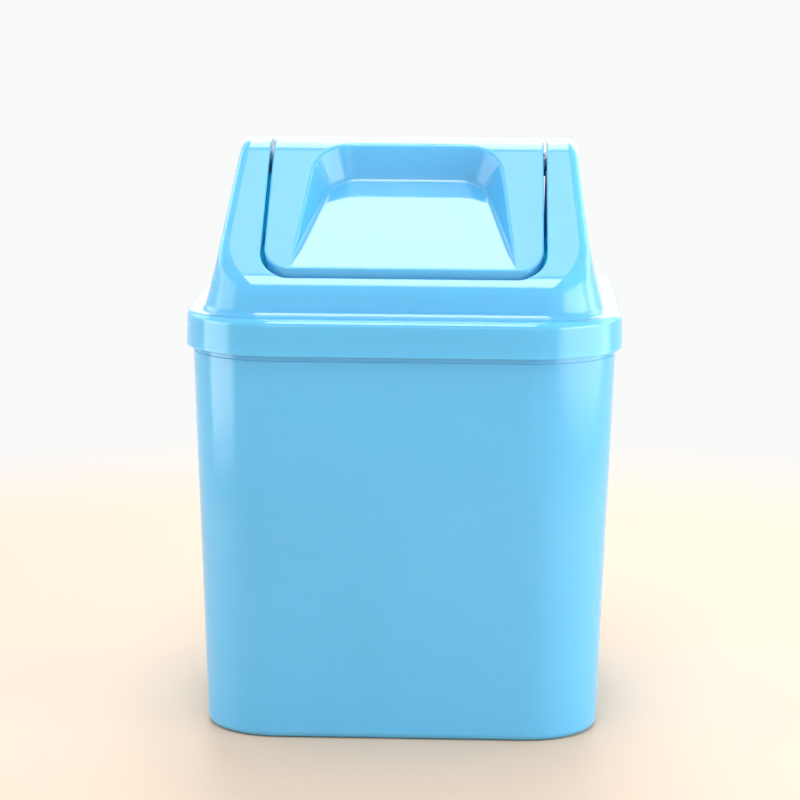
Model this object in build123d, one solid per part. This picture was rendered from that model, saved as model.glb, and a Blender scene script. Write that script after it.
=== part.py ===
from build123d import *
import math
import os

# Desktop trash can with a lift-off lid and a roof-shaped swing flap.
# Millimetres. X is the width, Y runs from front to back, Z is up.
# The origin is the middle of the base, on the table.

# Bin body
base_width = 132.4
base_depth = 132.4
base_corner = 25.0
wall_draft = 1.96
body_height = 140.1
bin_wall = 1.8
floor_wall = 2.2
foot_edge = 1.5
foot_recess = 1.2
foot_width = 7.0
floor_corner = 4.0
band_show = 1.8
band_step = 0.35
rim_edge = 0.4

# Skirt and ledge of the lid
skirt_depth = 12.0
skirt_gap = 0.6
skirt_wall = 1.7
skirt_draft = 1.5
skirt_edge = 0.9
lid_wall = 1.8
ledge_width = 6.0

# Hood of the lid
hood_corner = 20.0
hood_draft = 6.5
hood_edge = 3.8
flare_draft = 14.8
flare_height = 20.6
flare_blend = 60.0
foot_blend = 1.0
eave_height = 11.5
crest_radius = 20.0
slope_angle = 36.5

# Mouth of the hood, seen from above
mouth_side = 10.1
mouth_front = 2.45
mouth_corner = 9.5
mouth_edge = 0.4
flange_wall = 1.6
flange_depth = 5.0

# Swing flap
flap_wall = 1.6
flap_side_gap = 1.1
flap_end_gap = 2.8
flap_corner = 8.5
flap_edge = 0.5
lip_depth = 4.2

# Scoops of the flap, which a hand pushes
scoop_back = 8.8
scoop_depth = 12.0
scoop_rail = 9.2
scoop_taper = 11.4
scoop_corner = 5.5
scoop_draft = 30.0
scoop_blend = 1.5
scoop_edge = 1.2
scoop_runout = 0.6

# Pivots between flap and hood
pivot_drop = 8.6
pin_diameter = 5.0
pin_clearance = 0.1
pin_end = 0.6
shoulder_diameter = 8.4
shoulder_gap = 0.3
lug_wall = 2.4
lug_rim = 2.9
snap_ratio = 0.86
lead_in = 1.0
tab_rim = 1.2
gusset_wall = 1.4
gusset_length = 9.0

# The skirt goes over the rim of the bin, and the hood stands on the ledge
tiny = 0.001
ledge_height = body_height + lid_wall
skirt_low = ledge_height - skirt_depth
band_low = skirt_low - band_show
body_growth = math.tan(math.radians(wall_draft))
band_offset = band_low * body_growth - band_step
skirt_flare = skirt_depth * math.tan(math.radians(skirt_draft))
skirt_offset = band_offset + skirt_gap + skirt_wall
hood_offset = skirt_offset - ledge_width
hood_lean = math.tan(math.radians(hood_draft))
flare_lean = math.tan(math.radians(flare_draft))
waist_height = ledge_height + flare_height
waist_inset = flare_height * flare_lean

# The roof starts at the eave, which the mouth nearly reaches
slope = math.radians(slope_angle)
crest_half = crest_radius * math.sin(slope)
eave_half = base_depth / 2 + hood_offset - eave_height * flare_lean
slope_rise = (eave_half - crest_half) * math.tan(slope)
hood_height = eave_height + slope_rise + crest_radius * (1 - math.cos(slope))
crest_height = ledge_height + hood_height
above = crest_height + lid_wall
mouth_half_length = eave_half - mouth_front
crest_inset = waist_inset + (hood_height - flare_height) * hood_lean
mouth_half_width = base_width / 2 + hood_offset - crest_inset - mouth_side

# The flap fills the mouth and turns about its pins
flap_half_width = mouth_half_width - flap_side_gap
flap_half_length = mouth_half_length - flap_end_gap
scoop_front_half = flap_half_width - scoop_rail
scoop_back_half = scoop_front_half - scoop_taper
pivot_height = crest_height - pivot_drop
bore_radius = pin_diameter / 2 + pin_clearance


def base_plan(offset, corner=None):
    """The outline of the base, seen from above, grown by an offset."""
    radius = base_corner + offset if corner is None else corner
    return RectangleRounded(base_width + 2 * offset, base_depth + 2 * offset, radius)


def prism(outline, low, high, draft=0.0):
    """A prism between two heights that narrows upwards by the draft."""
    return Pos(0, 0, low) * extrude(outline, amount=high - low, taper=draft)


def roof_height(y):
    """The height of the roof line at a distance from the middle."""
    if abs(y) < crest_half:
        return crest_height - crest_radius + math.sqrt(crest_radius**2 - y**2)
    tangent_z = crest_height - crest_radius * (1 - math.cos(slope))
    return tangent_z - (abs(y) - crest_half) * math.tan(slope)


def roof(drop=0.0, inset=0.0):
    """All that lies under the roof line, lowered by drop and thinned by inset."""
    radius = crest_radius - inset
    top = crest_height - inset - drop
    tangent_y = radius * math.sin(slope)
    tangent_z = top - radius * (1 - math.cos(slope))
    reach = base_depth
    low = tangent_z - (reach - tangent_y) * math.tan(slope)
    outline = make_face(
        [
            Line((-reach, low), (-tangent_y, tangent_z)),
            ThreePointArc((-tangent_y, tangent_z), (0, top), (tangent_y, tangent_z)),
            Line((tangent_y, tangent_z), (reach, low)),
            Line((reach, low), (-reach, low)),
        ]
    )
    return extrude(Plane.YZ * outline, amount=base_width, both=True)


def outline_edges(faces):
    """The edges round a group of faces, without those between two of them."""
    edges = [edge for face in faces for edge in face.edges()]
    return [edge for edge in edges if sum(edge.is_same(other) for other in edges) == 1]


def roof_faces(shape):
    """The faces of a shape that look up at the slope of the roof or nearer the sky."""
    return [face for face in shape.faces() if face.normal_at().Z > math.cos(slope) - tiny]


def within(edge, half_width, half_length):
    """Whether the middle of an edge lies in a rectangle, seen from above."""
    middle = edge.center()
    return abs(middle.X) < half_width + tiny and abs(middle.Y) < half_length + tiny


def edges_at(shape, height):
    """The edges of a shape that lie flat at a height."""
    boxes = [(edge, edge.bounding_box()) for edge in shape.edges()]
    return [edge for edge, box in boxes if abs(box.max.Z - height) < tiny and abs(box.min.Z - height) < tiny]


def roof_edges(shape, half_width, half_length):
    """The sharp edges on the roof surface, within a rectangle seen from above."""
    chosen = []
    for edge in shape.edges():
        points = [edge @ part for part in (0, 0.3, 0.7, 1)]
        on_roof = all(abs(point.Z - roof_height(point.Y)) < tiny for point in points)
        smooth = all(abs(abs(point.Y) - crest_half) < tiny for point in points)
        if on_roof and not smooth and within(edge, half_width, half_length):
            chosen.append(edge)
    return chosen


def both_ways(shape):
    """A shape and its copy, turned half round."""
    return shape + Rot(0, 0, 180) * shape


# Bin body
def make_body():
    outside = prism(base_plan(0), 0, band_low, -wall_draft)
    outside = chamfer(edges_at(outside, 0), foot_edge)
    outside += prism(base_plan(band_offset), band_low, body_height)
    floor_top = foot_recess + floor_wall
    floor_offset = floor_top * body_growth - bin_wall
    inside = prism(base_plan(floor_offset), floor_top, above, -wall_draft)
    inside = chamfer(edges_at(inside, floor_top), floor_corner)
    recess = prism(base_plan(-foot_width), -foot_recess, foot_recess)
    body = outside - inside - recess
    return chamfer(edges_at(body, body_height), rim_edge)


# Lid with its skirt, hood, mouth and pivot lugs
def hood_form(inset=0.0):
    """The hood as a solid, drawn in by a wall; its walls flare out towards the ledge."""
    low = ledge_height - inset
    grow = inset * flare_lean - inset
    foot = base_plan(hood_offset + grow, hood_corner + grow)
    waist = base_plan(hood_offset - waist_inset - inset, hood_corner - waist_inset - inset)
    walls = prism(foot, low, waist_height, flare_draft) + prism(waist, waist_height, above, hood_draft)
    walls = fillet(edges_at(walls, waist_height), flare_blend)
    return walls & roof(inset=inset)


def mouth_prism(grow=0.0):
    """The space over and under the mouth, grown by a wall."""
    half_width = mouth_half_width + grow
    half_length = mouth_half_length + grow
    outline = RectangleRounded(2 * half_width, 2 * half_length, mouth_corner + grow)
    return prism(outline, body_height, above)


def pivot_lug():
    """One lug with its snap-in bearing, on the right of the mouth."""
    half = bore_radius + lug_rim
    throat = pin_diameter * snap_ratio / 2
    low = pivot_height - bore_radius - lead_in
    plate = Pos(0, (low + above) / 2) * Rectangle(2 * half, above - low)
    bore = Pos(0, pivot_height) * Circle(bore_radius)
    slot = make_face(
        Polyline(
            (-throat, pivot_height),
            (-throat, low + lead_in),
            (-throat - lead_in, low),
            (throat + lead_in, low),
            (throat, low + lead_in),
            (throat, pivot_height),
            close=True,
        )
    )
    lug = extrude(Plane.YZ * (plate - bore - slot), amount=lug_wall)
    return Pos(mouth_half_width, 0, 0) * lug & roof(inset=lid_wall / 2)


def make_lid():
    skirt = prism(base_plan(skirt_offset + skirt_flare), skirt_low, ledge_height, skirt_draft)
    skirt = chamfer(edges_at(skirt, ledge_height), skirt_edge)
    hood = hood_form()
    outside = skirt + fillet(outline_edges(roof_faces(hood)), hood_edge)
    foot = [edge for edge in edges_at(outside, ledge_height)
            if within(edge, base_width / 2 + hood_offset, base_depth / 2 + hood_offset)]
    outside = chamfer(foot, foot_blend) - mouth_prism()
    outside = chamfer(roof_edges(outside, mouth_half_width, mouth_half_length), mouth_edge)
    cavity = prism(base_plan(skirt_offset + skirt_flare - skirt_wall), skirt_low, body_height, skirt_draft)
    flange = (mouth_prism(flange_wall) - mouth_prism()) & roof(inset=lid_wall / 2)
    hood_space = hood_form(lid_wall)
    hood_space = chamfer(outline_edges(roof_faces(hood_space)), (hood_edge - lid_wall) / 2)
    hollow = cavity + hood_space - (flange - roof(drop=flange_depth))
    return outside - hollow + both_ways(pivot_lug())


# Swing flap with its scoops and pins
def scoop_form(grow=0.0):
    """The space of the front scoop, grown by a wall."""
    foot_z = roof_height(scoop_back) - scoop_depth
    end_y = flap_half_length - scoop_runout
    run = end_y - scoop_back
    fall = foot_z - roof_height(end_y)
    floor_length = math.hypot(run, fall)
    overrun = 2 * scoop_depth
    end_half = scoop_front_half + scoop_taper * overrun / floor_length
    outline = make_face(
        Polyline(
            (-scoop_back_half, 0),
            (scoop_back_half, 0),
            (end_half, -floor_length - overrun),
            (-end_half, -floor_length - overrun),
            close=True,
        )
    )
    back = outline.vertices().sort_by(Axis.Y)[-2:]
    outline = fillet(back, scoop_corner)
    draft = math.radians(scoop_draft)
    if grow > 0:
        outline = offset(outline, grow * (1 - math.sin(draft)) / math.cos(draft))
    space = extrude(outline, amount=overrun + grow, taper=-scoop_draft)
    if grow == 0:
        space = chamfer(edges_at(space, 0), scoop_blend)
    floor = Plane(origin=(0, -scoop_back, foot_z), x_dir=(1, 0, 0), z_dir=(0, -fall, run))
    return floor * Pos(0, 0, -grow) * space


def flap_prism(inset=0.0):
    """The space over and under the flap, drawn in by a wall."""
    half_width = flap_half_width - inset
    half_length = flap_half_length - inset
    outline = RectangleRounded(2 * half_width, 2 * half_length, flap_corner - inset)
    return prism(outline, body_height, above)


def pivot_end():
    """The tab and gusset that carry the right pin under the roof of the flap."""
    tab_radius = shoulder_diameter / 2 + tab_rim
    inner_x = flap_half_width - flap_wall
    tab_outline = Pos(0, pivot_height) * Circle(tab_radius)
    tab_outline += Pos(0, (pivot_height + above) / 2) * Rectangle(2 * tab_radius, above - pivot_height)
    tab = Pos(inner_x, 0, 0) * extrude(Plane.YZ * tab_outline, amount=flap_wall)
    gusset_outline = make_face(
        Polyline(
            (inner_x, pivot_height - tab_radius / 2),
            (inner_x, above),
            (inner_x - gusset_length, above),
            (inner_x - gusset_length, crest_height - flap_wall),
            close=True,
        )
    )
    gusset = extrude(Plane.XZ * gusset_outline, amount=gusset_wall / 2, both=True)
    return (tab + gusset) & roof(inset=flap_wall / 2)


def pivot_pin():
    """The right pin with the shoulder that keeps the flap in the middle."""
    end = Plane(origin=(flap_half_width, 0, pivot_height), z_dir=(1, 0, 0))
    shoulder = extrude(end * Circle(shoulder_diameter / 2), amount=flap_side_gap - shoulder_gap)
    pin = extrude(end * Circle(pin_diameter / 2), amount=flap_side_gap + lug_wall + pin_end)
    pin = chamfer(pin.edges().sort_by(Axis.X)[-1], pin_end / 2)
    return shoulder + pin


def make_flap():
    outside = flap_prism() & roof()
    outside = chamfer(outline_edges(roof_faces(outside)), flap_edge)
    outside -= both_ways(scoop_form())
    rims = roof_edges(outside, flap_half_width - flap_wall, flap_half_length - flap_corner)
    outside = fillet(rims, scoop_edge)
    hollow = (flap_prism(flap_wall) & roof(inset=flap_wall)) + roof(drop=lip_depth)
    shell = outside - (hollow - both_ways(scoop_form(flap_wall)))
    return shell + both_ways(pivot_end() + pivot_pin())


nodes = {
    "bin_body": make_body(),
    "lid_hood": make_lid(),
    "swing_flap": make_flap(),
}

os.makedirs("parts", exist_ok=True)
for name, shape in nodes.items():
    export_step(shape, f"parts/{name}.step")
    print(name, "volume", round(shape.volume / 1000, 2), "cm3")
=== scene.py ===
import bmesh
import bpy
import math
from mathutils import Matrix, Vector
from mathutils.geometry import delaunay_2d_cdt


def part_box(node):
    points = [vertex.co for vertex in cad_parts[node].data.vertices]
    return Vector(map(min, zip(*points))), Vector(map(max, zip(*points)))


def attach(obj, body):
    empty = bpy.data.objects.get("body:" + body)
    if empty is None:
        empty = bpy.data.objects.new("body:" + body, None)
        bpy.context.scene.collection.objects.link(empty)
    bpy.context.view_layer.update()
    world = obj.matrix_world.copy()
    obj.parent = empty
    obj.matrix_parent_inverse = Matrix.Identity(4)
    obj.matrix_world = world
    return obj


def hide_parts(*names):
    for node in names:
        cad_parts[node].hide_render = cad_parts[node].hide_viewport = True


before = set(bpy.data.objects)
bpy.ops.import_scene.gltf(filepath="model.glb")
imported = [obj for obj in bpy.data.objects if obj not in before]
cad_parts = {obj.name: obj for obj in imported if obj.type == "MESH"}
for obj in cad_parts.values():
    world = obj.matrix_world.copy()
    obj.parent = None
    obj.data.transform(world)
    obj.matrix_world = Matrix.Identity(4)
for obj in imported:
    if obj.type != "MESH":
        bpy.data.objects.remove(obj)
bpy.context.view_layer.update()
mm = 0.001
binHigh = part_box("bin_body")[1] / mm
lidLow, lidHigh = (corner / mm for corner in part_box("lid_hood"))
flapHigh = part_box("swing_flap")[1] / mm
print("frame loaded")

# Lengths below are in millimetres.
# The meshes are made in metres, at the places that the frame gives.
roofLine = {
    "crestHeight": lidHigh.z,
    "crestRadius": 20.0,
    "slope": math.radians(36.5),
    "eaveStart": 59.8,
    "eaveRadius": 13.0,
    "eaveSlope": math.radians(70),
}
smoothness = {
    "cornerSteps": 24,
    "crestSteps": 18,
    "sharpAngle": math.radians(32),
    "weld": 0.002,
    "flatWeight": 80,
    "halvings": 50,
}


# the roof line that hood and flap share
def roofAt(run, inset):  # y and z at a length along the line from the crest, under an inset
    radius, slope = roofLine["crestRadius"], roofLine["slope"]
    angle = max(-slope, min(slope, run / radius))
    straight = run - radius * angle
    y = (radius - inset) * math.sin(angle) + straight * math.cos(angle)
    z = roofLine["crestHeight"] - radius + (radius - inset) * math.cos(angle)
    return y, z - abs(straight * math.sin(angle))


def roofRun(y, inset):  # the length along the line at a distance from the middle
    radius, slope = roofLine["crestRadius"], roofLine["slope"]
    tangent = (radius - inset) * math.sin(slope)
    if abs(y) <= tangent:
        return radius * math.asin(y / (radius - inset))
    return math.copysign(radius * slope + (abs(y) - tangent) / math.cos(slope), y)


def eaveTurn(y, inset):  # how steep the line is where the roof bends down to its walls
    slope, radius = roofLine["slope"], roofLine["eaveRadius"] - inset
    start = roofLine["eaveStart"] - inset * math.sin(slope)
    if abs(y) <= start:
        return start, slope
    bent = (abs(y) - start) / radius + math.sin(slope)
    return start, math.asin(min(math.sin(roofLine["eaveSlope"]), bent))


def roofZ(y, inset=0.0):
    start, angle = eaveTurn(y, inset)
    if abs(y) <= start:
        return roofAt(roofRun(y, inset), inset)[1]
    slope, radius = roofLine["slope"], roofLine["eaveRadius"] - inset
    bend = start + radius * (math.sin(angle) - math.sin(slope))
    z = roofAt(roofRun(start, inset), inset)[1] - radius * (math.cos(slope) - math.cos(angle))
    return z - (abs(y) - bend) * math.tan(angle)


def roofNormal(y, inset):
    start, turn = eaveTurn(y, inset)
    if abs(y) <= start:
        turn = min(roofLine["slope"], abs(roofRun(y, inset)) / roofLine["crestRadius"])
    return Vector((0, math.copysign(math.sin(turn), y), math.cos(turn)))


def crestRuns():
    half = roofLine["crestRadius"] * roofLine["slope"]
    steps = smoothness["crestSteps"]
    return [half * (2 * k / steps - 1) for k in range(steps + 1)]


# stations round a rounded rectangle, anticlockwise: a point and the way out of it
def loop(halfX, halfY, corner, inset=0.0):
    sideY = [roofAt(run, inset)[0] for run in crestRuns()]
    steps = smoothness["cornerSteps"]

    def arc(signX, signY, first):
        centre = Vector((signX * (halfX - corner), signY * (halfY - corner), 0))
        angles = [math.radians(first + 90 * k / steps) for k in range(steps + 1)]
        outs = [Vector((math.cos(angle), math.sin(angle), 0)) for angle in angles]
        return [(centre + corner * out, out) for out in outs]

    right = [(Vector((halfX, y, 0)), Vector((1, 0, 0))) for y in sideY]
    left = [(Vector((-halfX, y, 0)), Vector((-1, 0, 0))) for y in reversed(sideY)]
    return arc(1, -1, -90) + right + arc(1, 1, 0) + arc(-1, 1, 90) + left + arc(-1, -1, 180)


def place(station, inward, z):
    point, out = station
    return Vector((point.x - out.x * inward, point.y - out.y * inward, z))


def wallNormal(out, lean):  # the normal of a wall that leans in by an angle
    return out * math.cos(lean) + Vector((0, 0, math.sin(lean)))


def arcRings(centres, firsts, lasts, radius, steps):  # a rounding, ring by ring
    rows = list(zip(centres, firsts, lasts))
    return [[c + radius * a.slerp(b, k / steps) for c, a, b in rows] for k in range(steps + 1)]


def solve(function, low, high):  # where a rising function passes zero
    for _ in range(smoothness["halvings"]):
        middle = (low + high) / 2
        if function(middle) > 0:
            high = middle
        else:
            low = middle
    return (low + high) / 2


def addBand(bm, first, second, closed=True):
    count = len(first)
    for k in range(count if closed else count - 1):
        corners = (first[k], first[(k + 1) % count], second[(k + 1) % count], second[k])
        if len(set(corners)) == 4:
            bm.faces.new(corners)


def addRings(bm, rings, closed=True, wrap=False):
    rows = [[bm.verts.new(point * mm) for point in ring] for ring in rings]
    for first, second in zip(rows, rows[1:]):
        addBand(bm, first, second, closed)
    if wrap:
        addBand(bm, rows[-1], rows[0], closed)
    return rows


def addPrism(bm, outline, low, high):  # an outline of y and z, drawn out along X
    ends = [[bm.verts.new(Vector((x, y, z)) * mm) for y, z in outline] for x in (low, high)]
    addBand(bm, *ends)
    for end in ends:
        bm.faces.new(end)


def meshAsShown(piece):
    ready = piece.evaluated_get(bpy.context.evaluated_depsgraph_get())
    return bpy.data.meshes.new_from_object(ready)


def meshEdgeUse(mesh):
    use = [0] * len(mesh.edges)
    for corner in mesh.loops:
        use[corner.edge_index] += 1
    return use


def finishMesh(bm, name, body, node, material):
    bmesh.ops.remove_doubles(bm, verts=bm.verts, dist=smoothness["weld"] * mm)
    bmesh.ops.dissolve_degenerate(bm, edges=bm.edges, dist=smoothness["weld"] * mm / 2)
    bmesh.ops.recalc_face_normals(bm, faces=bm.faces)
    mesh = bpy.data.meshes.new(name)
    bm.to_mesh(mesh)
    bm.free()
    mesh.shade_smooth()
    mesh.set_sharp_from_angle(angle=smoothness["sharpAngle"])
    mesh.materials.clear()
    mesh.materials.append(material)
    piece = bpy.data.objects.new(name, mesh)
    bpy.context.scene.collection.objects.link(piece)
    weigh = piece.modifiers.new("flatFaces", "WEIGHTED_NORMAL")
    weigh.keep_sharp = True
    weigh.weight = smoothness["flatWeight"]
    done = meshAsShown(piece)
    piece.modifiers.clear()
    piece.data = done
    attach(piece, body)
    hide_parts(node)
    openEdges = sum(1 for edge in meshEdgeUse(done) if edge != 2)
    print(name, "faces", len(done.polygons), "open edges", openEdges)


# moulded glossy plastic
plasticLook = {
    "bin": {"colour": (0.098, 0.452, 0.760), "glow": (0.35, 0.004)},
    "lid": {"colour": (0.094, 0.470, 0.985), "glow": (0.6, 0.011)},  # the flap's as well
    "glowReach": (0.35, 0.8, 1.0),  # a glow is how much light goes into the wall and how far
    "roughness": (0.055, 0.10),
    "specular": 0.75,
    "ior": 1.49,
    "cloud": (14.0, 3.0, 0.5, 0.6),  # scale, detail, roughness and twist of a pattern
    "cloudDepth": 0.05,
    "cloudSpan": (0.3, 0.7),
    "wave": (45.0, 1.0, 0.4, 0.0),
    "waveHeight": 0.00006,
    "grain": (1400.0, 2.0, 0.5, 0.0),
    "grainHeight": 0.0000025,
    "scratch": (260.0, 4.0, 0.6, 0.0),
    "scratchSpan": (0.62, 0.8),
    "scratchRoughness": (0.0, 0.10),
    "scratchStretch": (1.0, 1.0, 0.045),
    "scratchTurn": (0.5, 0.3, 0.2),
    "patternWay": (1.0, 0.7, 0.3),
}


def nodeMakers(tree):  # make gives any node, calc the result of a sum
    def make(kind, links=(), **values):
        node = tree.nodes.new(kind)
        for name, value in values.items():
            setattr(node, name, value)
        for socket, value in links:
            if isinstance(value, bpy.types.NodeSocket):
                tree.links.new(value, node.inputs[socket])
            else:
                node.inputs[socket].default_value = value
        return node

    def calc(operation, *values):
        return make("ShaderNodeMath", list(enumerate(values)), operation=operation).outputs[0]
    return make, calc


def noise(make, vector, pattern):
    values = zip(("Scale", "Detail", "Roughness", "Distortion"), pattern)
    return make("ShaderNodeTexNoise", [("Vector", vector), *values]).outputs["Fac"]


def remap(make, value, given, wanted):
    ends = zip(("From Min", "From Max", "To Min", "To Max"), (*given, *wanted))
    return make("ShaderNodeMapRange", [("Value", value), *ends]).outputs[0]


def fade(make, value, first, last):  # a soft step from 0 to 1
    ends = [("Value", value), ("From Min", first), ("From Max", last)]
    return make("ShaderNodeMapRange", ends, interpolation_type="SMOOTHSTEP").outputs[0]


def moulded(name, tone, start):  # start is the place on the pattern where a piece begins
    look = plasticLook
    colour, glow = look[tone]["colour"], look[tone]["glow"]
    material = bpy.data.materials.new(name)
    material.use_nodes = True
    tree = material.node_tree
    shader = tree.nodes["Principled BSDF"]
    make, calc = nodeMakers(tree)
    position = make("ShaderNodeTexCoord").outputs["Object"]

    # colour that clouds a little where the melt flowed
    shift = tuple(start * part for part in look["patternWay"])
    shifted = make("ShaderNodeMapping", [("Vector", position), ("Location", shift)]).outputs[0]
    cloud = noise(make, shifted, look["cloud"])
    dark = tuple(part * (1 - look["cloudDepth"]) for part in colour)
    light = tuple(min(1.0, part * (1 + look["cloudDepth"])) for part in colour)
    shades = [(0, cloud), (6, (*dark, 1)), (7, (*light, 1))]
    tint = make("ShaderNodeMix", shades, data_type="RGBA")
    tree.links.new(tint.outputs[2], shader.inputs["Base Color"])

    # fine scratches from wiping, long along one way
    stretched = make("ShaderNodeMapping", [("Vector", shifted), ("Scale", look["scratchStretch"]),
                                           ("Rotation", look["scratchTurn"])]).outputs[0]
    scratch = noise(make, stretched, look["scratch"])
    worn = remap(make, scratch, look["scratchSpan"], look["scratchRoughness"])
    gloss = remap(make, cloud, look["cloudSpan"], look["roughness"])
    tree.links.new(calc("ADD", gloss, worn), shader.inputs["Roughness"])

    # the slow waves of a moulded wall and the grain of the steel that shaped it
    wave = noise(make, shifted, look["wave"])
    grain = noise(make, position, look["grain"])
    waveBump = make("ShaderNodeBump", [("Height", wave), ("Distance", look["waveHeight"]),
                                       ("Strength", 1.0)])
    grainBump = make("ShaderNodeBump", [("Height", grain), ("Distance", look["grainHeight"]),
                                        ("Strength", 1.0), ("Normal", waveBump.outputs[0])])
    tree.links.new(grainBump.outputs[0], shader.inputs["Normal"])

    shader.inputs["IOR"].default_value = look["ior"]
    shader.inputs["Specular IOR Level"].default_value = look["specular"]
    shader.inputs["Subsurface Weight"].default_value = glow[0]
    shader.inputs["Subsurface Scale"].default_value = glow[1]
    shader.inputs["Subsurface Radius"].default_value = look["glowReach"]
    return material


binPlastic = moulded("binPlastic", "bin", 0.0)
lidPlastic = moulded("lidPlastic", "lid", 0.31)
flapPlastic = moulded("flapPlastic", "lid", 0.67)
print("plastic made")

# bin body: one section swept round the outline of the base
binSizes = {
    "Base Width": 132.4,
    "Base Depth": 132.4,
    "Base Corner": 25.0,
    "Height": binHigh.z,
    "Wall Draft": math.tan(math.radians(1.96)),
    "Wall": 1.8,
    "Floor Wall": 2.2,
    "Foot Recess": 1.2,
    "Foot Width": 7.0,
    "Foot Edge": 2.5,
    "Floor Corner": 5.0,
    "Floor Ring": 16.0,
    "Band Low": lidLow.z - 1.8,
    "Band Step": 0.35,
    "Band Edge": 0.14,
    "Rim Edge": 0.4,
    "Soft Edge": 0.3,
}
binCurve = {"Corner Steps": 24, "Edge Steps": 6}
lengthless = ("Wall Draft",)


def binTree():
    tree = bpy.data.node_groups.new("binBodyTree", "GeometryNodeTree")
    face = tree.interface
    face.new_socket("Geometry", in_out="INPUT", socket_type="NodeSocketGeometry")
    for name in binSizes:
        face.new_socket(name, in_out="INPUT", socket_type="NodeSocketFloat")
    for name in binCurve:
        face.new_socket(name, in_out="INPUT", socket_type="NodeSocketInt")
    face.new_socket("Material", in_out="INPUT", socket_type="NodeSocketMaterial")
    face.new_socket("Geometry", in_out="OUTPUT", socket_type="NodeSocketGeometry")
    make, calc = nodeMakers(tree)
    given = make("NodeGroupInput").outputs
    growth = given["Wall Draft"]
    floorTop = calc("ADD", given["Foot Recess"], given["Floor Wall"])
    ringEnd = calc("MULTIPLY", given["Floor Ring"], -1.0)
    footEnd = calc("MULTIPLY", given["Foot Width"], -1.0)
    bandFoot = calc("MULTIPLY", given["Band Low"], growth)
    bandOut = calc("SUBTRACT", bandFoot, given["Band Step"])
    innerTop = calc("SUBTRACT", calc("MULTIPLY", given["Height"], growth), given["Wall"])
    innerFoot = calc("SUBTRACT", calc("MULTIPLY", floorTop, growth), given["Wall"])
    soft, rim = given["Soft Edge"], given["Rim Edge"]
    # how far out, how high and how round, from the underside out, up and in again
    section = [
        (ringEnd, given["Foot Recess"], 0.0),
        (footEnd, given["Foot Recess"], soft),
        (footEnd, 0.0, soft),
        (0.0, 0.0, given["Foot Edge"]),
        (bandFoot, given["Band Low"], given["Band Edge"]),
        (bandOut, given["Band Low"], given["Band Edge"]),
        (bandOut, given["Height"], rim),
        (innerTop, given["Height"], rim),
        (innerFoot, floorTop, given["Floor Corner"]),
        (ringEnd, floorTop, 0.0),
    ]
    position = make("GeometryNodeIndexSwitch", data_type="VECTOR")
    radius = make("GeometryNodeIndexSwitch", data_type="FLOAT")
    for switch in (position, radius):
        while len(switch.index_switch_items) < len(section):
            switch.index_switch_items.new()
    index = make("GeometryNodeInputIndex").outputs[0]
    tree.links.new(index, position.inputs[0])
    tree.links.new(index, radius.inputs[0])
    for k, (out, high, rounding) in enumerate(section, start=1):
        down = calc("MULTIPLY", high, -1.0)
        point = make("ShaderNodeCombineXYZ", [("X", out), ("Y", down)]).outputs[0]
        tree.links.new(point, position.inputs[k])
        if isinstance(rounding, float):
            radius.inputs[k].default_value = rounding
        else:
            tree.links.new(rounding, radius.inputs[k])
    line = make("GeometryNodeMeshLine", [("Count", len(section))])
    strip = make("GeometryNodeMeshToCurve", [("Mesh", line.outputs[0])])
    bent = make("GeometryNodeSetPosition", [("Geometry", strip.outputs[0]),
                                            ("Position", position.outputs[0])])
    profile = make("GeometryNodeFilletCurve", [("Curve", bent.outputs[0]),
                                               ("Count", given["Edge Steps"]),
                                               ("Radius", radius.outputs[0])], mode="POLY")
    base = make("GeometryNodeCurvePrimitiveQuadrilateral", [("Width", given["Base Width"]),
                                                            ("Height", given["Base Depth"])])
    path = make("GeometryNodeFilletCurve", [("Curve", base.outputs[0]),
                                            ("Count", given["Corner Steps"]),
                                            ("Radius", given["Base Corner"])], mode="POLY")
    upright = make("GeometryNodeSetCurveNormal", [("Curve", path.outputs[0])], mode="Z_UP")
    wall = make("GeometryNodeCurveToMesh", [("Curve", upright.outputs[0]),
                                            ("Profile Curve", profile.outputs[0])])
    merged = make("GeometryNodeMergeByDistance", [("Geometry", wall.outputs[0]),
                                                  ("Distance", smoothness["weld"] * mm)])
    real = make("GeometryNodeRealizeInstances", [("Geometry", merged.outputs[0])])
    coloured = make("GeometryNodeSetMaterial", [("Geometry", real.outputs[0]),
                                                ("Material", given["Material"])])
    make("NodeGroupOutput", [("Geometry", coloured.outputs[0])])
    return tree


def makeBin():
    tree = binTree()
    blank = bpy.data.objects.new("binStart", bpy.data.meshes.new("binStart"))
    bpy.context.scene.collection.objects.link(blank)
    sweep = blank.modifiers.new("binBodyTree", "NODES")
    sweep.node_group = tree
    for item in tree.interface.items_tree:
        if item.in_out != "INPUT" or item.name == "Geometry":
            continue
        if item.name == "Material":
            sweep[item.identifier] = binPlastic
        elif item.name in binCurve:
            sweep[item.identifier] = binCurve[item.name]
        else:
            sweep[item.identifier] = binSizes[item.name] * (1 if item.name in lengthless else mm)
    shape = meshAsShown(blank)
    bm = bmesh.new()
    bm.from_mesh(shape)
    bpy.data.objects.remove(blank)
    bpy.data.meshes.remove(shape)
    rims = [edge for edge in bm.edges if edge.is_boundary]
    bmesh.ops.holes_fill(bm, edges=rims)  # floor and underside
    finishMesh(bm, "binBody", "bin", "bin_body", binPlastic)


makeBin()
print("bin made")

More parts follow.
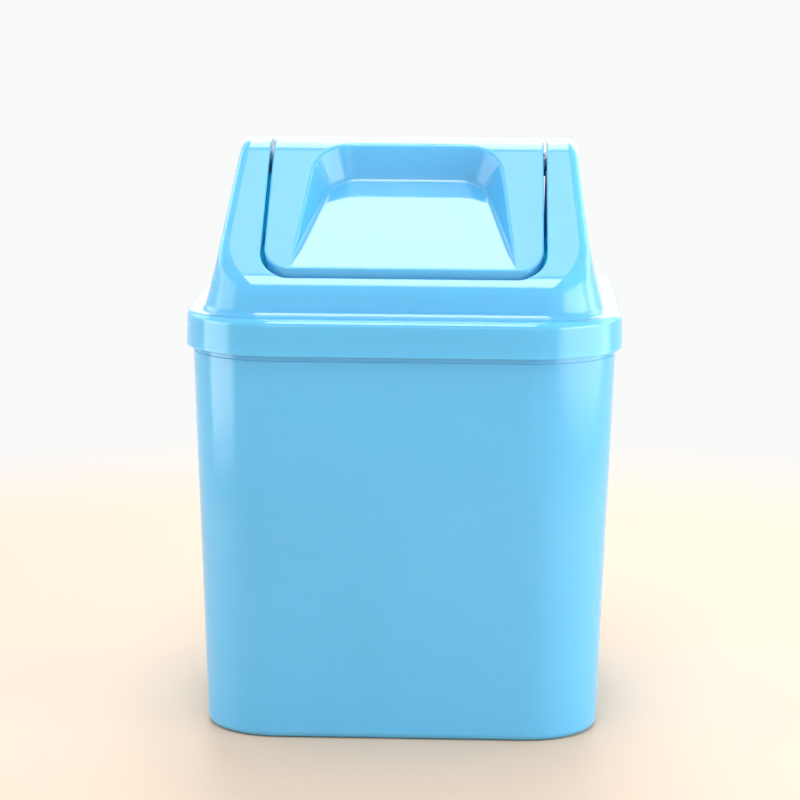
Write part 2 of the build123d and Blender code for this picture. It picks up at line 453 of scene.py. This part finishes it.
# lid: skirt, ledge, hood, mouth with its flange, and two lugs
lidSizes = {
    "skirtHalf": lidHigh.x,
    "skirtCorner": 31.65,
    "skirtLow": lidLow.z,
    "skirtDraft": math.radians(1.5),
    "skirtWall": 1.7,
    "skirtEdge": 2.3,
    "rimSoft": 0.35,
    "ledgeHeight": binHigh.z + 1.8,
    "ledgeWidth": 6.0,
    "wall": 1.8,
    "hoodCorner": 20.0,
    "hoodDraft": math.radians(6.5),
    "flareDraft": math.radians(14.8),
    "flareHeight": 20.6,
    "flareBlend": 8.0,
    "footBlend": 3.0,
    "eaveHeight": 11.5,
    "sideEdge": (3.2, 3.4),  # how far a soft edge goes down the wall and in over the roof
    "frontEdge": (1.4, 0.45),
    "cornerEdge": (4.2, 0.9),
    "insideEdge": 2.2,
    "mouthSide": 10.1,
    "mouthFront": 2.45,
    "mouthCorner": 9.5,
    "mouthEdge": 0.5,
    "flangeWall": 1.6,
    "flangeDepth": 5.0,
    "flangeSoft": 0.4,
}
lidSteps = {"soft": 4, "edge": 8, "eave": 14, "wall": 10, "insideWall": 8, "roof": 7, "mouth": 6}
ledgeHeight = lidSizes["ledgeHeight"]
hoodLean = math.tan(lidSizes["hoodDraft"])
flareLean = math.tan(lidSizes["flareDraft"])
skirtLean = math.tan(lidSizes["skirtDraft"])
skirtHalf = lidSizes["skirtHalf"] - (ledgeHeight - lidSizes["skirtLow"]) * skirtLean
skirtCorner = lidSizes["skirtCorner"] - (ledgeHeight - lidSizes["skirtLow"]) * skirtLean
hoodHalf = skirtHalf - lidSizes["ledgeWidth"]
hoodHeight = roofLine["crestHeight"] - ledgeHeight
crestHalf = hoodHalf - lidSizes["flareHeight"] * (flareLean - hoodLean) - hoodHeight * hoodLean
mouthHalfX = crestHalf - lidSizes["mouthSide"]
mouthHalfY = hoodHalf - lidSizes["eaveHeight"] * flareLean - lidSizes["mouthFront"]


# the middle of a rounding that touches a leaning wall from inside
def wallCentre(station, lean, radius, height):
    h = height - ledgeHeight + radius * math.sin(lean)
    return place(station, h * math.tan(lean) + radius * math.cos(lean), height)


def skirtRings():
    s = lidSizes
    stations = loop(skirtHalf, skirtHalf, skirtCorner)
    walls = [wallNormal(out, s["skirtDraft"]) for _, out in stations]
    down = [Vector((0, 0, -1))] * len(stations)
    up = [Vector((0, 0, 1))] * len(stations)
    soft = s["rimSoft"]
    lowCentres = [wallCentre(st, s["skirtDraft"], soft, s["skirtLow"] + soft) for st in stations]
    edge = s["skirtEdge"]
    topCentres = [wallCentre(st, s["skirtDraft"], edge, ledgeHeight - edge) for st in stations]
    rings = arcRings(lowCentres, down, walls, soft, lidSteps["soft"])
    return rings + arcRings(topCentres, walls, up, edge, lidSteps["edge"])


def hoodInset(rise):  # how far the hood's wall has come in at a height over the ledge
    waist, blend = lidSizes["flareHeight"], lidSizes["flareBlend"]
    past = rise - waist + blend
    if past <= 0:
        return rise * flareLean
    if past >= 2 * blend:
        return waist * flareLean + (rise - waist) * hoodLean
    return rise * flareLean - (flareLean - hoodLean) * past * past / (4 * blend)


def eaveRings(stations, wall, legs, steps):  # the soft edge where the hood's wall meets its roof
    rows = []
    for station, (downLeg, inLeg) in zip(stations, legs):
        def above(rise):
            return ledgeHeight + rise - roofZ(place(station, hoodInset(rise) + wall, 0).y, wall)
        rise = solve(above, 0, hoodHeight)
        edge = place(station, hoodInset(rise) + wall, ledgeHeight + rise)
        low = place(station, hoodInset(rise - downLeg) + wall, ledgeHeight + rise - downLeg)
        inner = place(station, hoodInset(rise) + wall + inLeg, 0)
        inner.z = roofZ(inner.y, wall)
        turn = (edge - low).angle(inner - edge)
        rows.append((low, edge, inner, math.cos(turn / 2)))
    rings = []
    for k in range(steps + 1):
        t = k / steps
        parts = ((1 - t) ** 2, 2 * t * (1 - t), t * t)
        ring = []
        for low, edge, inner, weight in rows:
            whole = parts[0] + parts[1] * weight + parts[2]
            ring.append((low * parts[0] + edge * parts[1] * weight + inner * parts[2]) / whole)
        rings.append(ring)
    return rings


def eaveLegs(stations):  # soft and low in front and behind, tighter along the sides
    s = lidSizes
    rows = list(zip(s["sideEdge"], s["frontEdge"], s["cornerEdge"]))
    legs = []
    for _, out in stations:
        front = out.y * out.y
        corner = 4 * front * (1 - front)  # 1 in the middle of a corner, 0 at its ends
        legs.append(tuple(side + (ahead - side) * front + corner * more
                          for side, ahead, more in rows))
    return legs


def hoodRings():
    s = lidSizes
    stations = loop(hoodHalf, hoodHalf, s["hoodCorner"])
    walls = [wallNormal(out, s["flareDraft"]) for _, out in stations]
    up = [Vector((0, 0, 1))] * len(stations)
    blend = s["footBlend"]
    footCentres = [wallCentre(st, s["flareDraft"], -blend, ledgeHeight + blend) for st in stations]
    rings = arcRings(footCentres, up, walls, -blend, lidSteps["edge"])
    eave = eaveRings(stations, 0.0, eaveLegs(stations), lidSteps["eave"])
    rings += wallRings(rings[-1], eave[0], stations, 0.0, lidSteps["wall"])
    return rings + eave


def wallRings(lowRing, highRing, stations, wall, steps):  # the flared wall between two rings
    rings = []
    for k in range(1, steps):
        ring = []
        for station, low, high in zip(stations, lowRing, highRing):
            z = low.z + (high.z - low.z) * k / steps
            ring.append(place(station, hoodInset(z - ledgeHeight) + wall, z))
        rings.append(ring)
    return rings


def roofBetween(outerRing, innerRing):  # rings on the roof from the eave to the mouth
    steps = lidSteps["roof"]
    rings = []
    for k in range(1, steps):
        ring = [outer.lerp(inner, k / steps) for outer, inner in zip(outerRing, innerRing)]
        rings.append([Vector((p.x, p.y, roofZ(p.y))) for p in ring])
    return rings


def mouthRings():
    s = lidSizes
    edge, soft = s["mouthEdge"], s["flangeSoft"]

    def mouthLoop(inset):
        return loop(mouthHalfX, mouthHalfY, s["mouthCorner"], inset)

    stations = mouthLoop(edge)
    points = [place(st, -edge, 0) for st in stations]
    centres = [Vector((p.x, p.y, roofZ(p.y, edge))) for p in points]
    roofs = [roofNormal(p.y, edge) for p in points]
    inwards = [-out for _, out in stations]
    rings = arcRings(centres, roofs, inwards, edge, lidSteps["mouth"])
    stations = mouthLoop(-soft)
    for outward, first, last in ((soft, "in", "down"), (s["flangeWall"] - soft, "down", "out")):
        points = [place(st, -outward, 0) for st in stations]
        centres = [Vector((p.x, p.y, roofZ(p.y, -soft) - s["flangeDepth"])) for p in points]
        ways = {
            "in": [-out for _, out in stations],
            "out": [out for _, out in stations],
            "down": [-roofNormal(p.y, -soft) for p in points],
        }
        rings += arcRings(centres, ways[first], ways[last], soft, lidSteps["soft"])
    return rings


def roundedDistance(x, y, half, corner):  # how far a point lies inside a rounded square
    dx, dy = abs(x) - (half - corner), abs(y) - (half - corner)
    outside = math.hypot(max(dx, 0), max(dy, 0))
    return corner - outside - min(max(dx, dy), 0)


def insideRings(flangeFoot):
    s = lidSizes
    wall = s["wall"]
    stations = loop(hoodHalf, hoodHalf, s["hoodCorner"], wall)
    mouth = loop(mouthHalfX, mouthHalfY, s["mouthCorner"], wall)
    legs = [(s["insideEdge"], s["insideEdge"])] * len(stations)
    corner = eaveRings(stations, wall, legs, lidSteps["edge"])
    corner.reverse()

    def roomAt(point, height):  # between a point and the inner wall of the hood
        back = wall + hoodInset(height - ledgeHeight)
        return roundedDistance(point.x, point.y, hoodHalf - back, s["hoodCorner"] - back)

    flangeTop = []
    for k, station in enumerate(mouth):
        outer = place(station, -s["flangeWall"], 0)
        under, low = roofZ(outer.y, wall), flangeFoot[k].z
        if roomAt(outer, under) > s["insideEdge"]:
            flangeTop.append(Vector((outer.x, outer.y, under)))
            continue
        room = min(roomAt(outer, low), 0)
        spot = place(station, -s["flangeWall"] - room, 0)
        height = min(solve(lambda z: -roomAt(outer, z), low, under), under - s["insideEdge"] / 2)
        meet = Vector((spot.x, spot.y, max(height, low)))
        flangeTop.append(meet)
        for ring in corner:
            ring[k] = meet.copy()
    return [flangeTop] + corner, stations


def makeLid():
    s = lidSizes
    bm = bmesh.new()
    mouth = mouthRings()
    inner, stations = insideRings(mouth[-1])
    soft, low = s["rimSoft"], binHigh.z

    def softRings(around, inward, foot):  # the soft edge at the foot of an inner wall
        rings = []
        for k in range(lidSteps["soft"] + 1):
            turn = math.radians(90 * k / lidSteps["soft"])
            back, rise = soft * (1 - math.cos(turn)), soft * (1 - math.sin(turn))
            rings.append([place(st, inward - back, foot + rise) for st in around])
        return rings

    footRings = softRings(stations, s["wall"] + hoodInset(low - ledgeHeight), low)
    inside = wallRings(inner[-1], footRings[0], stations, s["wall"], lidSteps["insideWall"])
    skirt = loop(skirtHalf, skirtHalf, skirtCorner)
    topInner = [place(st, s["skirtWall"] + (low - ledgeHeight) * skirtLean, low) for st in skirt]
    inward = s["skirtWall"] + (s["skirtLow"] - ledgeHeight) * skirtLean
    lowInner = softRings(skirt, inward, s["skirtLow"])
    hood = hoodRings()
    rings = skirtRings() + hood + roofBetween(hood[-1], mouth[0]) + mouth + inner + inside
    rings += footRings + [topInner] + lowInner
    addRings(bm, rings, wrap=True)
    addLugs(bm)
    finishMesh(bm, "lidHood", "lid", "lid_hood", lidPlastic)


lugSizes = {
    "pivotDrop": 8.6,
    "pinRadius": 2.5,
    "boreRadius": 2.6,
    "rim": 2.9,
    "wall": 2.4,
    "throat": 0.86,
    "leadIn": 1.0,
    "setBack": 0.05,
    "sink": 0.9,
    "steps": 28,
    "topSteps": 8,
}
pivotHeight = roofLine["crestHeight"] - lugSizes["pivotDrop"]


def addLugs(bm):
    s = lugSizes
    half, bore = s["boreRadius"] + s["rim"], s["boreRadius"]
    throat = s["pinRadius"] * s["throat"]
    low = pivotHeight - bore - s["leadIn"]
    gap = math.asin(throat / bore)
    arc = []
    for k in range(s["steps"] + 1):
        angle = -math.pi / 2 + gap + (2 * math.pi - 2 * gap) * k / s["steps"]
        arc.append((bore * math.cos(angle), pivotHeight + bore * math.sin(angle)))
    across = [half * (1 - 2 * k / s["topSteps"]) for k in range(s["topSteps"] + 1)]
    top = [(y, roofZ(y, s["sink"])) for y in across]
    outline = [(throat, low + s["leadIn"])] + arc + [(-throat, low + s["leadIn"])]
    outline += [(-throat - s["leadIn"], low), (-half, low)] + list(reversed(top))
    outline += [(half, low), (throat + s["leadIn"], low)]
    for side in (1, -1):
        near = mouthHalfX + s["setBack"]
        addPrism(bm, outline, side * near, side * (near + s["wall"] - s["setBack"]))


makeLid()
print("lid made")

# swing flap: the roof between the slots, two scoops, a turned lip and the pins
flapSizes = {
    "sideGap": 1.1,
    "halfY": flapHigh.y,
    "corner": 8.5,
    "edge": 0.7,
    "wall": 1.6,
    "lipDepth": 4.2,
    "lipSoft": 0.4,
    "edgeSteps": 8,
    "softSteps": 4,
}
scoopSizes = {
    "back": 8.8,
    "depth": 12.0,
    "rail": 9.2,
    "taper": 11.4,
    "corner": 10.5,
    "draft": math.radians(30),
    "blend": 2.5,
    "rim": 1.5,
    "runout": 0.6,
    "underEnd": 0.3,  # the underside stops short of the lip by this share of the wall
    "blendSteps": 8,
    "rimSteps": 7,
    "cornerSteps": 14,
    "sideSteps": 16,
    "sideCrowding": 1.7,
    "fill": 0.96,  # how much of a shallow wall its two roundings take up
}
flapHalfX = mouthHalfX - flapSizes["sideGap"]
flapHalfY = flapSizes["halfY"]


def flapLoop(inset):
    return loop(flapHalfX, flapHalfY, flapSizes["corner"], inset)


def flapOutsideRings():  # from the roof over the edge, down the lip and up inside it
    s = flapSizes
    edge, soft = s["edge"], s["lipSoft"]
    stations = flapLoop(edge)
    points = [place(st, edge, 0) for st in stations]
    centres = [Vector((p.x, p.y, roofZ(p.y, edge))) for p in points]
    roofs = [roofNormal(p.y, edge) for p in points]
    rings = arcRings(centres, roofs, [out for _, out in stations], edge, s["edgeSteps"])
    stations = flapLoop(-soft)
    for inward, first, last in ((soft, "out", "down"), (s["wall"] - soft, "down", "in")):
        points = [place(st, inward, 0) for st in stations]
        centres = [Vector((p.x, p.y, roofZ(p.y, -soft) - s["lipDepth"])) for p in points]
        ways = {
            "in": [-out for _, out in stations],
            "out": [out for _, out in stations],
            "down": [-roofNormal(p.y, -soft) for p in points],
        }
        rings += arcRings(centres, ways[first], ways[last], soft, s["softSteps"])
    stations = flapLoop(s["wall"])
    points = [place(st, s["wall"], 0) for st in stations]
    rings.append([Vector((p.x, p.y, roofZ(p.y, s["wall"]))) for p in points])
    return rings


# the front scoop, on a tilted floor: u across, v from the back to the front, h square to the floor
scoopFootZ = roofZ(scoopSizes["back"]) - scoopSizes["depth"]
scoopEndY = flapHalfY - scoopSizes["runout"]
scoopRun = scoopEndY - scoopSizes["back"]
scoopFall = scoopFootZ - roofZ(scoopEndY)
scoopLength = math.hypot(scoopRun, scoopFall)
scoopFront = flapHalfX - scoopSizes["rail"]
scoopBackHalf = scoopFront - scoopSizes["taper"]
acrossFloor = Vector((1, 0, 0))
downFloor = Vector((0, -scoopRun, -scoopFall)) / scoopLength
floorNormal = Vector((0, -scoopFall, scoopRun)) / scoopLength
floorOrigin = Vector((0, -scoopSizes["back"], scoopFootZ))


def onFloor(u, v, h):
    return floorOrigin + acrossFloor * u + downFloor * v + floorNormal * h


def scoopStations(shell):  # round the foot of the scoop's wall, from its right end to its left
    s = scoopSizes
    splay = math.atan2(s["taper"], scoopLength)
    endV = scoopLength - s["underEnd"] * shell
    corner = s["corner"]
    middleU = scoopBackHalf - corner * (1 - math.sin(splay)) / math.cos(splay)
    startV = corner - corner * math.sin(splay)
    rows = []
    for k in range(s["sideSteps"] + 1):
        share = (k / s["sideSteps"]) ** s["sideCrowding"]
        v = endV + (startV - endV) * share
        u = scoopBackHalf + s["taper"] * v / scoopLength
        rows.append((u, v, math.cos(splay), -math.sin(splay)))
    for k in range(1, s["cornerSteps"] + 1):
        angle = -splay + (splay - math.pi / 2) * k / s["cornerSteps"]
        out = (math.cos(angle), math.sin(angle))
        rows.append((middleU + corner * out[0], corner + corner * out[1], *out))
    rows += [(-u, v, -outU, outV) for u, v, outU, outV in reversed(rows)]
    return rows


def scoopWall(row, height, back):  # a point on the scoop's wall, set back from it into the plastic
    u, v, outU, outV = row
    draft = scoopSizes["draft"]
    out = acrossFloor * outU + downFloor * outV
    facing = floorNormal * math.sin(draft) - out * math.cos(draft)
    return onFloor(u, v, height) + out * (height * math.tan(draft)) - facing * back, facing


def scoopTop(row, back):  # how high the scoop's wall goes, up to a roof set back as far
    def above(height):
        point = scoopWall(row, height, back)[0]
        return point.z - roofZ(point.y, back)
    return solve(above, -scoopSizes["depth"] / 2, 2 * scoopSizes["depth"])


# from the floor up the wall and over the rim; shell is 0 above and the plastic's wall underneath
def scoopRings(shell):
    s = scoopSizes
    draft = s["draft"]
    need = (s["blend"] + s["rim"]) / 2  # both roundings fit where the wall is as deep as this
    blends, rims = [], []
    for row in scoopStations(shell):
        depth = max(scoopTop(row, shell) + shell * math.sin(draft), 0.0)
        share = min(1.0, s["fill"] * depth / need)
        u, v, outU, outV = row
        out = acrossFloor * outU + downFloor * outV
        facing = scoopWall(row, 0, 0)[1]
        blend = (s["blend"] + shell) * share - shell
        shift = blend * (1 - math.sin(draft)) / math.cos(draft)
        centre = onFloor(u, v, blend) - out * shift
        blends.append((centre, -floorNormal, -facing, blend + shell))
        if shell:
            height = scoopTop(row, shell)
            rims.append((scoopWall(row, height, shell)[0], facing, facing, 0.0))
            continue
        rim = s["rim"] * share
        centre = scoopWall(row, scoopTop(row, rim), rim)[0]
        rims.append((centre, facing, roofNormal(centre.y, rim), rim))
    rings = []
    for group, steps in ((blends, s["blendSteps"]), (rims, 1 if shell else s["rimSteps"])):
        for k in range(steps + 1):
            rings.append([c + r * a.slerp(b, k / steps) for c, a, b, r in group])
    for ring in rings:
        ring[0], ring[-1] = rings[-1][0].copy(), rings[-1][-1].copy()
    return rings


def turned(point):
    return Vector((-point.x, -point.y, point.z))


roofFill = {"across": 40, "reach": 0.985, "margin": 0.8, "tolerance": 1e-5}


# the roof between rings that lie on it, filled flat on its unrolled plane and bent back
def fillRoof(bm, outer, holes, inset):
    rings = [outer] + holes
    flat, edges = [], []
    for ring in rings:
        start = len(flat)
        flat += [Vector((p.x, roofRun(p.y, inset))) for p in ring]
        edges += [(start + k, start + (k + 1) % len(ring)) for k in range(len(ring))]
    polygons = [[Vector((p.x, roofRun(p.y, inset))) for p in ring] for ring in rings]
    sideX = max(p.x for p in polygons[0])
    for run in crestRuns():
        for k in range(roofFill["across"] + 1):
            spot = Vector((sideX * (2 * k / roofFill["across"] - 1) * roofFill["reach"], run))
            clear = all(distanceTo(spot, polygon) > roofFill["margin"] for polygon in polygons)
            if clear and not any(inPolygon(spot, polygon) for polygon in polygons[1:]):
                flat.append(spot)
    points, _, triangles, *_ = delaunay_2d_cdt(flat, edges, [], 1, roofFill["tolerance"])
    corners = []
    for point in points:
        y, z = roofAt(point.y, inset)
        corners.append(bm.verts.new(Vector((point.x, y, z)) * mm))
    for triangle in triangles:
        middle = sum((points[k] for k in triangle), Vector((0, 0))) / 3
        inHole = any(inPolygon(middle, hole) for hole in polygons[1:])
        if inPolygon(middle, polygons[0]) and not inHole:
            bm.faces.new([corners[k] for k in triangle])


def inPolygon(spot, polygon):
    inside = False
    for k, b in enumerate(polygon):
        a = polygon[k - 1]
        if (a.y > spot.y) == (b.y > spot.y):
            continue
        if spot.x < a.x + (b.x - a.x) * (spot.y - a.y) / (b.y - a.y):
            inside = not inside
    return inside


def distanceTo(spot, polygon):
    best = math.inf
    for k, b in enumerate(polygon):
        a = polygon[k - 1]
        along = b - a
        if along.length_squared == 0:
            continue
        share = max(0.0, min(1.0, (spot - a).dot(along) / along.length_squared))
        best = min(best, (spot - a - along * share).length)
    return best


pinSizes = {
    "shoulderRadius": 4.2,
    "shoulderGap": 0.3,
    "shoulderSoft": 0.2,
    "pinEnd": 0.6,
    "pinSoft": 0.3,
    "tabRim": 1.2,
    "tabSteps": 24,
    "tabTopSteps": 8,
    "sink": 0.4,
    "gussetWall": 1.4,
    "gussetLength": 9.0,
    "steps": 32,
}


def addPivots(bm):
    f, s, pin = flapSizes, lugSizes, pinSizes
    tabRadius = pin["shoulderRadius"] + pin["tabRim"]
    innerX = flapHalfX - f["wall"]
    outerX = flapHalfX - s["setBack"]
    tab = []
    for k in range(pin["tabSteps"] + 1):
        angle = math.pi + math.pi * k / pin["tabSteps"]
        tab.append((tabRadius * math.cos(angle), pivotHeight + tabRadius * math.sin(angle)))
    for k in range(pin["tabTopSteps"] + 1):
        y = tabRadius * (1 - 2 * k / pin["tabTopSteps"])
        tab.append((y, roofZ(y, f["wall"] / 2)))
    shoulderEnd = flapHalfX + f["sideGap"] - pin["shoulderGap"]
    pinEnd = flapHalfX + f["sideGap"] + s["wall"] + pin["pinEnd"]
    shoulder, pinRadius = pin["shoulderRadius"], s["pinRadius"]
    lathe = [
        (innerX + pin["sink"], 0.0),
        (innerX + pin["sink"], shoulder),
        (shoulderEnd - pin["shoulderSoft"], shoulder),
        (shoulderEnd, shoulder - pin["shoulderSoft"]),
        (shoulderEnd, pinRadius),
        (pinEnd - pin["pinSoft"], pinRadius),
        (pinEnd, pinRadius - pin["pinSoft"]),
        (pinEnd, 0.0),
    ]
    gussetLow = pivotHeight - tabRadius / 2
    top = roofLine["crestHeight"] - f["wall"] / 2
    halfGusset = pin["gussetWall"] / 2
    inner = innerX + pin["sink"]
    end = innerX - pin["gussetLength"]
    gusset = [(inner, gussetLow), (inner, top), (end, top), (end, top - f["wall"] / 2)]
    angles = [2 * math.pi * k / pin["steps"] for k in range(pin["steps"])]
    circle = [(math.cos(angle), math.sin(angle)) for angle in angles]
    for side in (1, -1):
        addPrism(bm, tab, side * innerX, side * outerX)
        rings = []
        for x, radius in lathe:
            rings.append([Vector((side * x, radius * y, pivotHeight + radius * z))
                          for y, z in circle])
        addRings(bm, rings)
        faces = []
        for y in (-halfGusset, halfGusset):
            faces.append([bm.verts.new(Vector((side * x, y, z)) * mm) for x, z in gusset])
        addBand(bm, *faces)
        for face in faces:
            bm.faces.new(face)


def makeFlap():
    bm = bmesh.new()
    outside = flapOutsideRings()
    addRings(bm, outside)
    for shell, border in ((0.0, outside[0]), (flapSizes["wall"], outside[-1])):
        rings = scoopRings(shell)
        holes = []
        for way in (lambda p: p.copy(), turned):
            moved = [[way(p) for p in ring] for ring in rings]
            rows = addRings(bm, moved, closed=False)
            bm.faces.new(rows[0])
            holes.append(moved[-1])
        fillRoof(bm, border, holes, shell)
    addPivots(bm)
    finishMesh(bm, "swingFlap", "flap", "swing_flap", flapPlastic)


makeFlap()
print("flap made")

# floor, light and camera
stageLook = {
    "floorRadius": 6.0,
    "floorSides": 96,
    "tableRoughness": 0.6,
    "tableColour": (0.63, 0.48, 0.36, 1),
    "tableEdge": (0.28, 0.52),  # where the warm table fades out into the white
    "white": (0.945, 0.955, 0.955, 1),
    "roomColour": (0.92, 0.96, 1.0, 1),
    "roomLight": 0.65,
}


def seenDirectly(make, calc):  # 1 for what the camera sees, also in a gloss or through glass
    rays = make("ShaderNodeLightPath").outputs
    level = rays["Is Camera Ray"]
    for other in ("Is Glossy Ray", "Is Transmission Ray"):
        level = calc("MAXIMUM", level, rays[other])
    return level


def makeFloor():
    bm = bmesh.new()
    look = stageLook
    bmesh.ops.create_circle(bm, cap_ends=True, radius=look["floorRadius"],
                            segments=look["floorSides"])
    mesh = bpy.data.meshes.new("floor")
    bm.to_mesh(mesh)
    bm.free()
    floor = bpy.data.objects.new("floor", mesh)
    bpy.context.scene.collection.objects.link(floor)
    material = bpy.data.materials.new("paleTable")
    material.use_nodes = True
    tree = material.node_tree
    make, calc = nodeMakers(tree)
    shader = tree.nodes["Principled BSDF"]
    shader.inputs["Base Color"].default_value = look["tableColour"]
    shader.inputs["Roughness"].default_value = look["tableRoughness"]
    position = make("ShaderNodeTexCoord").outputs["Object"]
    away = make("ShaderNodeVectorMath", [(0, position)], operation="LENGTH").outputs["Value"]
    farShare = fade(make, away, *look["tableEdge"])
    white = make("ShaderNodeEmission", [("Color", look["white"]), ("Strength", 1.0)]).outputs[0]
    share = calc("MULTIPLY", farShare, seenDirectly(make, calc))
    mixed = make("ShaderNodeMixShader", [(0, share), (1, shader.outputs[0]), (2, white)]).outputs[0]
    tree.links.new(mixed, tree.nodes["Material Output"].inputs["Surface"])
    mesh.materials.append(material)


def makeRoom():
    look = stageLook
    world = bpy.data.worlds.new("room")
    bpy.context.scene.world = world
    world.use_nodes = True
    tree = world.node_tree
    make, calc = nodeMakers(tree)
    room = tree.nodes["Background"]
    room.inputs["Color"].default_value = look["roomColour"]
    room.inputs["Strength"].default_value = look["roomLight"]
    seenAs = make("ShaderNodeBackground", [("Color", look["white"]), ("Strength", 1.0)]).outputs[0]
    sides = [(0, seenDirectly(make, calc)), (1, room.outputs[0]), (2, seenAs)]
    mixed = make("ShaderNodeMixShader", sides).outputs[0]
    tree.links.new(mixed, tree.nodes["World Output"].inputs["Surface"])


# each lamp is a soft panel turned towards the bin; brightness 1 is as bright as white paper
lamps = {
    "window": {"place": (0.2, 1.8, 0.85), "size": (2.4, 1.7), "brightness": 2.15},
    "windowLeft": {"place": (-1.6, 1.1, 1.0), "size": (1.4, 1.4), "brightness": 1.7},
    "windowRight": {"place": (1.7, 1.0, 0.9), "size": (1.4, 1.5), "brightness": 2.1},
    "skylightBack": {"place": (-0.03, 0.85, 1.25), "size": (0.6, 1.0), "brightness": 4.4},
    "ceiling": {"place": (-0.03, 0.14, 1.4), "size": (0.6, 0.50), "brightness": 2.05},
    "skylightFront": {"place": (-0.04, -0.50, 1.25), "size": (0.6, 0.80), "brightness": 7.2},
    "rightWall": {"place": (1.5, -0.7, 0.45), "size": (2.0, 0.9), "brightness": 2.9},
    "leftWall": {"place": (-1.6, -0.2, 0.5), "size": (1.8, 0.9), "brightness": 1.6},
    "frontLow": {"place": (0.1, -2.5, 0.62), "size": (2.8, 0.5), "brightness": 2.0},
    "tableRight": {"place": (0.42, -0.12, 0.13), "size": (0.80, 0.27), "brightness": 2.4},
    "tableLeft": {"place": (-0.38, -0.10, 0.11), "size": (0.32, 0.23), "brightness": 2.6},
}
softEdge = 0.24  # the share of a panel over which it fades out at its rim
aimAt = Vector((0, 0, 0.12))


def makeLamps():
    for name, look in lamps.items():
        light = bpy.data.lights.new(name, "AREA")
        light.shape = "RECTANGLE"
        light.size, light.size_y = look["size"]
        light.energy = look["brightness"] * math.pi * light.size * light.size_y
        light.use_nodes = True
        tree = light.node_tree
        make, calc = nodeMakers(tree)
        panel = make("ShaderNodeNewGeometry").outputs["Parametric"]
        across = make("ShaderNodeSeparateXYZ", [("Vector", panel)])
        fades = []
        for side in across.outputs[:2]:
            fromMiddle = calc("ABSOLUTE", calc("SUBTRACT", side, 0.5))
            fades.append(fade(make, fromMiddle, 0.5, 0.5 - softEdge))
        tree.links.new(calc("MULTIPLY", *fades), tree.nodes["Emission"].inputs["Strength"])
        lamp = bpy.data.objects.new(name, light)
        lamp.location = look["place"]
        lamp.rotation_euler = (aimAt - lamp.location).to_track_quat("-Z", "Y").to_euler()
        lamp.visible_camera = False
        bpy.context.scene.collection.objects.link(lamp)


view = {
    "place": (0.03246, -0.98051, 0.27331),
    "yaw": -0.0359,
    "pitch": 0.1712,
    "roll": 0.0061,
    "focal": 2840.0,
    "imageWidth": 800.0,
    "sensor": 36.0,
}


def makeCamera():
    yaw, pitch, roll = view["yaw"], view["pitch"], view["roll"]
    level = math.cos(pitch)
    ahead = Vector((math.sin(yaw) * level, math.cos(yaw) * level, -math.sin(pitch)))
    right = Vector((math.cos(yaw), -math.sin(yaw), 0))
    up = right.cross(ahead)
    across = right * math.cos(roll) + up * math.sin(roll)
    upright = up * math.cos(roll) - right * math.sin(roll)
    data = bpy.data.cameras.new("camera")
    data.sensor_width = view["sensor"]
    data.lens = view["focal"] * view["sensor"] / view["imageWidth"]
    camera = bpy.data.objects.new("camera", data)
    turn = Matrix((across, upright, -ahead)).transposed()
    camera.matrix_world = Matrix.Translation(view["place"]) @ turn.to_4x4()
    bpy.context.scene.collection.objects.link(camera)
    bpy.context.scene.camera = camera


makeFloor()
makeRoom()
makeLamps()
makeCamera()
bpy.context.scene.view_settings.view_transform = "Standard"
print("stage ready")
